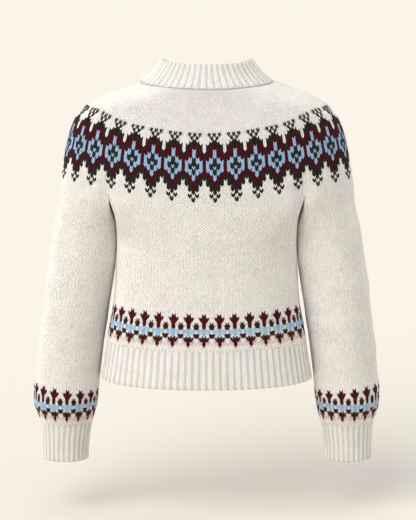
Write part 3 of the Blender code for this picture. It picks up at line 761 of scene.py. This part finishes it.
# The points of a crown and the dark diamonds between two crowns lie off the lattice
TUFTS = (
    # row from the chart's top, columns from the middle of a crown, yarn, width
    (1.15, (-0.76, 0.76), "M", 0.78),
    (1.65, (-0.52, 0.52), "M", 0.65),
    (3.05, (2.0,), "K", 0.6),
    (4.05, (1.82, 2.18), "K", 0.95),
    (5.50, (-1.38, 1.38), "B", 0.6),
    (7.05, (1.78,), "M", 0.95),
    (7.05, (2.22,), "K", 0.95),
    (8.30, (-0.70, 0.70), "M", 0.90),
    (10.20, (0.0,), "M", 0.8),
)
CROWNS = chart("MWW MWW MWW MPW MWK BLW BLW BWK MWW MWW MPP PWW"), TUFTS, 4
CROWN_TOP, CROWN_MIDDLE = 37, 0
body = Fabric(body_row, BODY_ROWS, -BODY_FRONT, BODY_FRONT)
for node, first, last in (("back", -32, 32), ("front_left", 33, 61), ("front_right", -61, -33)):
    add_knit(node, body, first, last, CROWNS, CROWN_TOP, CROWN_MIDDLE)

# Hem
# A knit rib and a purl valley by turns, worked down from the body in the same lambswool. The ribs
# stand 1.2 mm proud.
HEM_DOWN = 507.0 * MM
RIB_ROWS = 14
RIB_STITCH = 1.28  # width of a knit stitch in a rib, in columns
RIB_DEPTH, RIB_SWING = 1.5, 0.6  # millimetres to the cloth behind, and how much that varies
RIDGE_PITCH, RIDGE_WIDTH, RIDGE_LIFT = 0.8, 0.95, 2.1 * MM
HEM_SIDE, HEM_FRONT = 38, 74  # columns from the centre back


def hem_row(row, columns):
    """Points of a row of the hem."""
    down = HEM_SEAM_DOWN + (HEM_DOWN - HEM_SEAM_DOWN) * row / RIB_ROWS
    share = stretched(np.abs(columns), [0.0, HEM_SIDE, HEM_FRONT], [0.0, 1.0, 2.0])
    points = on_half(body_outline(down), share)
    points[:, 0] *= np.where(columns < 0, -1.0, 1.0)
    return points


def add_rib(node, fabric, first, last, closed=False, ridge=()):
    """A ribbed piece between two even columns: odd columns are knit and even ones purl.

    ridge has rows where picked-up stitches lie across the ribs.
    """
    rows = np.arange(fabric.rows)
    knits, lines = np.meshgrid(np.arange(first + 1, last, 2), rows)
    groups = legs(fabric, knits.ravel(), lines.ravel(), CREAM, LEG_LEAF, RIB_STITCH)
    purls, lines = np.meshgrid(np.arange(first if closed else first + 2, last, 2), rows + 0.5)
    groups.append((fabric, purls.ravel(), lines.ravel(), CREAM, PURL_LEAF, 1, 1.0, 0.0))
    for line in ridge:
        across = np.arange(first + 0.5, last, RIDGE_PITCH)
        lines = np.full(across.size, line)
        groups.append((fabric, across, lines, CREAM, PURL_LEAF, 1, RIDGE_WIDTH, RIDGE_LIFT))
    edges = np.arange(first, last + 0.1, 0.5)
    depths = (RIB_DEPTH + RIB_SWING * np.cos(math.pi * edges)) * MM
    add_piece(node, fabric, edges, depths, groups, None, closed)


hem = Fabric(hem_row, RIB_ROWS, -HEM_FRONT, HEM_FRONT)
add_rib("hem_rib_back", hem, -HEM_SIDE, HEM_SIDE)
add_rib("hem_rib_left", hem, HEM_SIDE, HEM_FRONT)
add_rib("hem_rib_right", hem, -HEM_FRONT, -HEM_SIDE)

# Sleeves
# Knitted round in lambswool from the stitches left at each armhole, and ribbed at the cuffs. Soft
# folds run a little way round the arm, and the cloth puffs out above the cuff.
CUFF_SEAM_DOWN = 589.0 * MM
CUFF_DOWN = 655.0 * MM
CUFF_ROUND = 56
SLEEVE_BLEND = 75.0 * MM
SLEEVE_ROWS = 82
SLEEVE_ROUND = 60
SLEEVE_MATCH = 15.0  # rows over which the columns spread evenly below the armhole
SLEEVE_CROWN_TOP, SLEEVE_CROWN_MIDDLE = 69, 3
SLEEVE = (
    # down, x, y, half_x, half_y, in millimetres
    (190.0, 196.0, -15.0, 53.0, 62.0),
    (256.0, 201.0, -15.0, 58.0, 59.0),
    (309.0, 210.0, -16.0, 57.0, 58.0),
    (373.0, 219.8, -18.0, 55.8, 57.0),
    (444.0, 229.5, -20.0, 54.6, 55.5),
    (502.0, 236.2, -22.0, 54.4, 55.0),
    (545.0, 240.2, -23.5, 54.2, 54.5),
    (566.0, 240.4, -24.5, 51.6, 52.0),
    (580.0, 240.8, -25.0, 48.0, 48.5),
    (600.0, 241.2, -25.5, 43.6, 44.2),
    (626.0, 242.4, -26.0, 41.2, 41.6),
    (655.0, 242.9, -26.5, 40.4, 40.6),
)
SLEEVE_FOLDS = (
    # down, angle, height, length, half_turn, in millimetres and degrees
    (292.0, 38.0, 2.2, 15.0, 40.0),
    (352.0, 150.0, 2.6, 18.0, 46.0),
    (410.0, 60.0, 2.4, 17.0, 42.0),
    (470.0, 215.0, 2.8, 20.0, 50.0),
    (552.0, 110.0, 2.2, 13.0, 80.0),
)
FOLD_SLANT = 0.12
LEAN_SPAN = 10.0 * MM


def sleeve_ring(down, turn, folds=True):
    """Points of a plain ring of the left sleeve: turn is 0 on its inner side, 90 degrees behind."""
    x, y, half_x, half_y = read(SLEEVE, down / MM) * MM
    below = read(SLEEVE, (down + LEAN_SPAN / 2) / MM)[0] * MM
    above = read(SLEEVE, (down - LEAN_SPAN / 2) / MM)[0] * MM
    lift = np.zeros(len(turn))
    for fold_down, angle, raised, length, half_turn in SLEEVE_FOLDS if folds else ():
        away = (np.degrees(turn) - angle + 180) % 360 - 180
        across = (down / MM - fold_down - FOLD_SLANT * away) / length
        lift += raised * MM * np.exp(-(across**2) - (away / half_turn) ** 2)
    across = -(half_x + lift) * np.cos(turn)
    y = y + (half_y + lift) * np.sin(turn)
    return np.stack([x + across, y, -down + across * (below - above) / LEAN_SPAN], axis=-1)


def armhole(spot):
    """Points of the armhole: spot is 0 mid-underarm, 3 and 17 at the folds, 10 on the shoulder."""
    spot = spot % 20.0
    stops = [FOOT_BACK, FOOT_SIDE, FOOT_CREASE]
    arc = at_length(FOOT, np.interp(spot, [3.0, 10.0, 17.0], stops))
    t = np.interp((spot + 10.0) % 20.0, np.arange(7, 14), UNDERARM_STOPS)
    under = underarm(FRONT_CORNER, BACK_CORNER, 1, t)
    return np.where(((spot >= 3) & (spot <= 17))[:, None], arc, under)


MEAN_ARMHOLE = -armhole(np.arange(20.0))[:, 2].mean()


def sleeve_row(side, row, columns):
    """Points of a row of one sleeve: its columns are the yoke's, and go on under the arm."""
    index = np.abs(columns)
    middle = BACK_FOLD - (SLEEVE_ROUND - (FRONT_FOLD - BACK_FOLD)) / 2
    place = index + side * shift_at(index, *SHOULDER_FADE)
    reach = np.interp(place, [0, YOKE_SHOULDER, YOKE_FRONT], [0.0, FOOT_HALF, FOOT_BAND])
    at_foot = np.interp(reach, [FOOT_BACK, FOOT_SIDE, FOOT_CREASE], [3.0, 10.0, 17.0])
    before = 3.0 * (place - middle) / (BACK_FOLD - middle)
    after = 17.0 + 3.0 * (place - FRONT_FOLD) / (middle + SLEEVE_ROUND - FRONT_FOLD)
    at_foot = np.where(place < BACK_FOLD, before, np.where(place > FRONT_FOLD, after, at_foot))
    even = (place - middle) * 20.0 / SLEEVE_ROUND
    down = MEAN_ARMHOLE + (CUFF_SEAM_DOWN - MEAN_ARMHOLE) * row / SLEEVE_ROWS
    spot = at_foot + (even - at_foot) * ease(row / SLEEVE_MATCH)
    foot = armhole(spot)
    stay = 1 - ramped(down, MEAN_ARMHOLE, SLEEVE_BLEND)
    points = sleeve_ring(down, spot * math.pi / 10)
    points[:, :2] += (foot[:, :2] - points[:, :2]) * stay
    points[:, 2] += (foot[:, 2] + MEAN_ARMHOLE) * stay
    if row:
        points[:, 0] = np.maximum(points[:, 0], contact_plane(points[:, 2]) + TOUCH_GAP)
    points[:, 0] *= side
    return points


def cuff_row(side, row, columns):
    """Points of a row of one cuff, without the sleeve's folds."""
    down = CUFF_SEAM_DOWN + (CUFF_DOWN - CUFF_SEAM_DOWN) * row / RIB_ROWS
    points = sleeve_ring(down, side * columns * math.pi / (CUFF_ROUND / 2), False)
    points[:, 0] *= side
    return points


for side, word, first in ((1, "left", 19), (-1, "right", -78)):
    sleeve = Fabric(partial(sleeve_row, side), SLEEVE_ROWS, first, first + SLEEVE_ROUND)
    last, middle = first + SLEEVE_ROUND - 1, SLEEVE_CROWN_MIDDLE * side
    add_knit("sleeve_" + word, sleeve, first, last, CROWNS, SLEEVE_CROWN_TOP, middle, closed=True)
    cuff = Fabric(partial(cuff_row, side), RIB_ROWS, 0, CUFF_ROUND)
    add_rib("cuff_" + word, cuff, 0, CUFF_ROUND, closed=True)

# Collar
# The neck's stitches, picked up and ribbed into a band that stands up, with its bound-off edge at
# the top.
COLLAR_TOP = 37.0 * MM
COLLAR_FRONT_DROP = 22.0 * MM
COLLAR_HALF_WIDTH = 77.5 * MM
COLLAR_HALF_DEPTH = 62.0 * MM
COLLAR_HOLLOW = 3.0 * MM
COLLAR_DROP_POWER = 1.5
COLLAR_ROWS = 9
COLLAR_FRONT = 46  # columns from the centre back to the band
COLLAR_RIDGE_UP = 0.15  # rows from its seam to the ridge of picked-up stitches


def collar_ring(share):
    """Half a ring of the collar, dense: share is 0 on its seam and 1 on its top edge."""
    toward = np.cos(TURNS)
    drop = COLLAR_FRONT_DROP * np.maximum(-toward, 0.0) ** COLLAR_DROP_POWER
    top = np.stack(
        [
            COLLAR_HALF_WIDTH * np.sin(TURNS),
            NECK_CENTRE + COLLAR_HALF_DEPTH * toward,
            COLLAR_TOP - drop,
        ],
        axis=-1,
    )
    points = yoke_ring(0.0) * (1 - share) + top * share
    inward = COLLAR_HOLLOW * math.sin(math.pi * share)
    points[:, 0] -= inward * np.sin(TURNS)
    points[:, 1] -= inward * toward
    return points


def collar_row(row, columns):
    """Points of a row of the collar, the first at its top edge."""
    ring = collar_ring(1 - row / COLLAR_ROWS)
    reach = stretched(np.abs(columns), [0.0, COLLAR_FRONT], [0.0, length_to(ring, BAND_HALF, True)])
    return at_length(ring, reach * np.sign(columns))


collar = Fabric(collar_row, COLLAR_ROWS, -COLLAR_FRONT, COLLAR_FRONT)
add_rib("collar", collar, -COLLAR_FRONT, COLLAR_FRONT, ridge=(COLLAR_ROWS - COLLAR_RIDGE_UP,))

# Bands
# Two strips of lambswool down the front opening, ribbed along their length and joined to the
# fronts. The buttonhole band lies over the button band, and its buttonholes aren't made.
BAND_ROWS = 128
BAND_COLUMNS = 8


def body_front(down):
    """The body's outline near the centre front, lowered as its knitted row is."""
    outline = body_outline(down)
    rise = 1 - ramped(down, UNDERARM_DOWN, BODY_HEIGHT)
    stay = 1 - ramped(down, UNDERARM_DOWN, BODY_BLEND)
    outline[:, 1] += (FOOT[-1, 1] - outline[-1, 1]) * stay
    outline[:, 2] += (FOOT[-1, 2] + UNDERARM_DOWN) * rise
    return outline


def front_line(x):
    """A line down the front at this x, with a point on every ring of the part's own strip."""
    rings = [collar_ring(share) for share in (1.0, 0.5)]
    rings += [yoke_ring(share) for share in np.linspace(0.0, 1.0, 8)]
    rings += [body_front(down) for down in np.linspace(UNDERARM_DOWN, HEM_SEAM_DOWN, 7)[1:]]
    rings += [body_outline((HEM_SEAM_DOWN + HEM_DOWN) / 2), body_outline(HEM_DOWN)]
    line = []
    for ring in rings:
        tail = ring[ring[:, 0].argmax() :][::-1]
        y, z = [np.interp(abs(x), tail[:, 0], tail[:, axis]) for axis in (1, 2)]
        line.append((x, y, z))
    return np.array(line)


band_lines = {}


def band_row(row, columns):
    """Points of a row of the button band."""
    found = []
    for column in columns:
        if column not in band_lines:
            reach = (BAND_HALF - SEAM / 2) * (1 - 2 * column / BAND_COLUMNS)
            band_lines[column] = front_line(reach)
        line = band_lines[column]
        place = lengths(line)[-1] * row / BAND_ROWS
        found.append([np.interp(place, lengths(line), line[:, axis]) for axis in range(3)])
    return np.array(found)


def over_row(row, columns):
    """The buttonhole band lies on the button band."""
    return band.at(columns, row, CLOTH + SEAM)


band = Fabric(band_row, BAND_ROWS, 0, BAND_COLUMNS)
add_rib("button_band", band, 0, BAND_COLUMNS)
over = Fabric(over_row, BAND_ROWS, 0, BAND_COLUMNS)
add_rib("buttonhole_band", over, 0, BAND_COLUMNS)

# Buttons
# Eight turned buttons of dark horn, 16 mm across, with a raised rim and four holes, sewn on with
# wool. The shank of thread is hidden, so each one lies 0.9 mm above the ribs.
BUTTON_RADIUS = 8.0 * MM
BUTTON_RIM = 3.2 * MM
BUTTON_HOLE = 0.95 * MM
BUTTON_HOLES_OUT = 1.75 * MM
BUTTON_LIFT = 0.9 * MM
BUTTON_COUNT = 8
BUTTON_TOP_INSET = 15.0 * MM  # from the top of the band to the first one
BUTTON_FOOT_INSET = 22.0 * MM
DRILL_SIDES = 20
THREAD_STEPS, THREAD_SIDES = 12, 8
THREAD_FOOT = 0.42  # height of its ends, as a share of the rim
THREAD_RISE = 0.95 * MM
THREAD_HALF_WIDTH, THREAD_HALF_THICK = 0.55 * MM, 0.45 * MM
STREAKS = 260.0  # to a metre
STREAK_SHAPE = (1.0, 6.0, 1.0)  # so each is about 4 mm long and 0.6 mm wide
BUTTON_SIDES = 48
BUTTON_PROFILE = (
    # out, as a share of the radius, and height, as a share of the rim
    (0.00, 0.600), (0.52, 0.610), (0.64, 0.680), (0.74, 0.900), (0.82, 0.990), (0.89, 0.990),
    (0.95, 0.900), (1.00, 0.620), (0.98, 0.330), (0.90, 0.120), (0.60, 0.000), (0.00, 0.000),
)


def horn():
    """Polished horn: smooth and a little glossy, dark brown with paler streaks along the grain."""
    finish = {"Roughness": 0.28, "Coat Weight": 0.2}
    material, tree, shader = new_material("horn_turned_and_polished", finish)
    place = add_node(tree, "TexCoord").outputs["Object"]
    grain = add_node(tree, "Mapping", Vector=place, Scale=STREAK_SHAPE).outputs[0]
    streak = add_node(tree, "TexNoise", Vector=grain, Scale=STREAKS, Detail=4.0, Roughness=0.6)
    stops = (0.38, "23160F"), (0.72, "6B4A32")
    ramp = add_node(tree, "ValToRGB", stops=stops, Fac=streak.outputs["Fac"])
    tree.links.new(ramp.outputs["Color"], shader.inputs["Base Color"])
    return material


HORN = horn()


def button_mesh():
    """A turned button lying on its back."""
    build = bmesh.new()
    rings = []
    turns = np.arange(BUTTON_SIDES) * 2 * math.pi / BUTTON_SIDES
    for out, height in BUTTON_PROFILE:
        high = height * BUTTON_RIM
        if out == 0:
            rings.append([build.verts.new((0.0, 0.0, high))])
            continue
        reach = out * BUTTON_RADIUS
        rings.append(
            [build.verts.new((reach * math.cos(t), reach * math.sin(t), high)) for t in turns]
        )
    for ring, following in zip(rings, rings[1:]):
        for k in range(BUTTON_SIDES):
            n = (k + 1) % BUTTON_SIDES
            if len(ring) == 1:
                build.faces.new((ring[0], following[k], following[n]))
            elif len(following) == 1:
                build.faces.new((ring[k], following[0], ring[n]))
            else:
                build.faces.new((ring[k], following[k], following[n], ring[n]))
    mesh = bpy.data.meshes.new("button")
    build.to_mesh(mesh)
    build.free()
    return mesh


def drilled(mesh):
    """The mesh with four holes through it."""
    item = add_object("button_blank", mesh)
    drills = []
    for x in (-1, 1):
        for y in (-1, 1):
            place = (x * BUTTON_HOLES_OUT, y * BUTTON_HOLES_OUT, BUTTON_RIM / 2)
            bpy.ops.mesh.primitive_cylinder_add(
                vertices=DRILL_SIDES, radius=BUTTON_HOLE, depth=3 * BUTTON_RIM, location=place
            )
            drills.append(bpy.context.object)
            cut = item.modifiers.new("hole", "BOOLEAN")
            cut.object = drills[-1]
            cut.solver = "EXACT"
    bpy.context.view_layer.update()
    graph = bpy.context.evaluated_depsgraph_get()
    found = bpy.data.meshes.new_from_object(item.evaluated_get(graph))
    for spare in (item, *drills):
        bpy.data.objects.remove(spare)
    return found


def with_thread(mesh):
    """The mesh with two strands of wool, each from one hole over to the opposite one."""
    points = [tuple(v.co) for v in mesh.vertices]
    faces = [tuple(p.vertices) for p in mesh.polygons]
    solid = len(faces)
    out = BUTTON_HOLES_OUT
    for y in (-out, out):
        start = len(points)
        for step in range(THREAD_STEPS + 1):
            turn = math.pi * step / THREAD_STEPS
            x = -out * math.cos(turn)
            z = BUTTON_RIM * THREAD_FOOT + THREAD_RISE * math.sin(turn) ** 0.5
            for k in range(THREAD_SIDES):
                around = k * 2 * math.pi / THREAD_SIDES
                side = THREAD_HALF_WIDTH * math.cos(around)
                points.append((x, y + side, z + THREAD_HALF_THICK * math.sin(around)))
        for step in range(THREAD_STEPS):
            first = start + step * THREAD_SIDES
            for k in range(THREAD_SIDES):
                a, b = first + k, first + (k + 1) % THREAD_SIDES
                faces.append((a, b, b + THREAD_SIDES, a + THREAD_SIDES))
    made = bpy.data.meshes.new("button")
    made.from_pydata(points, [], faces)
    made.materials.append(HORN)
    made.materials.append(WOOLS[CREAM])
    made.polygons.foreach_set("material_index", [0] * solid + [1] * (len(faces) - solid))
    made.shade_smooth()
    made.set_sharp_from_angle(angle=math.radians(40))
    return made


sewn = with_thread(drilled(button_mesh()))
middle, rows = BAND_COLUMNS / 2, np.arange(BAND_ROWS + 1.0)
along = lengths(band.at(middle, rows))
spread = np.linspace(BUTTON_TOP_INSET, along[-1] - BUTTON_FOOT_INSET, BUTTON_COUNT)
for number, row in enumerate(np.interp(spread, along, rows), start=1):
    low = band.at(middle, row)
    face = unit(band.at(middle, row, 1.0) - low)
    button = add_object("button_%d_sewn" % number, sewn)
    button.location = low + face * (CLOTH + SEAM + BUTTON_LIFT)
    button.rotation_euler = (math.pi / 2 - math.atan2(face[2], -face[1]), 0.0, 0.0)
    bpy.context.view_layer.update()
    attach(button, "root")
    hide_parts("button_%d" % number)

# Floor, light and camera
# A plain pale floor, a soft key light from the upper left of the camera and a bright room. The
# camera stands behind the wearer, 6 m away and 11.5 degrees above level.
FLOOR_DOWN, FLOOR_RADIUS = 0.745, 40.0
KEY_AZIMUTH, KEY_HEIGHT = math.radians(51.0), math.radians(42.0)
CAMERA_AWAY, CAMERA_TILT = 6.0, math.radians(11.5)
AIM_DOWN = 0.3055

bpy.ops.mesh.primitive_circle_add(
    vertices=96, radius=FLOOR_RADIUS, fill_type="NGON", location=(0.0, 0.0, -FLOOR_DOWN)
)
floor = bpy.context.object
floor.name = "floor"
# Matt paper: pale, without gloss, so that only the soft shadow shows on it
finish = {"Base Color": hex_colour("E4DFD7"), "Roughness": 0.95, "Specular IOR Level": 0.1}
floor.data.materials.append(new_material("paper_matt_cream", finish)[0])

world = bpy.context.scene.world or bpy.data.worlds.new("room")
bpy.context.scene.world = world
world.use_nodes = True
room = world.node_tree.nodes["Background"]
room.inputs["Color"].default_value = hex_colour("FDFBF8")
room.inputs["Strength"].default_value = 0.85

sun = bpy.data.lights.new("key_light", "SUN")
sun.energy = 1.95
sun.angle = math.radians(50.0)
sun.color = hex_colour("FFFDFA")[:3]
key_light = add_object("key_light", sun)
key_light.rotation_euler = (math.pi / 2 - KEY_HEIGHT, 0.0, math.pi / 2 + KEY_AZIMUTH)

camera = add_object("camera", bpy.data.cameras.new("camera"))
bpy.context.scene.camera = camera
bpy.context.scene.view_settings.view_transform = "Standard"
up = CAMERA_AWAY * math.sin(CAMERA_TILT)
camera.location = (0.0, CAMERA_AWAY * math.cos(CAMERA_TILT), -AIM_DOWN + up)
camera.rotation_euler = (math.pi / 2 - CAMERA_TILT, 0.0, math.pi)
camera.data.sensor_width = 36.0
camera.data.lens = 245.77
camera.data.shift_x = 0.0025
camera.data.clip_end = 100.0
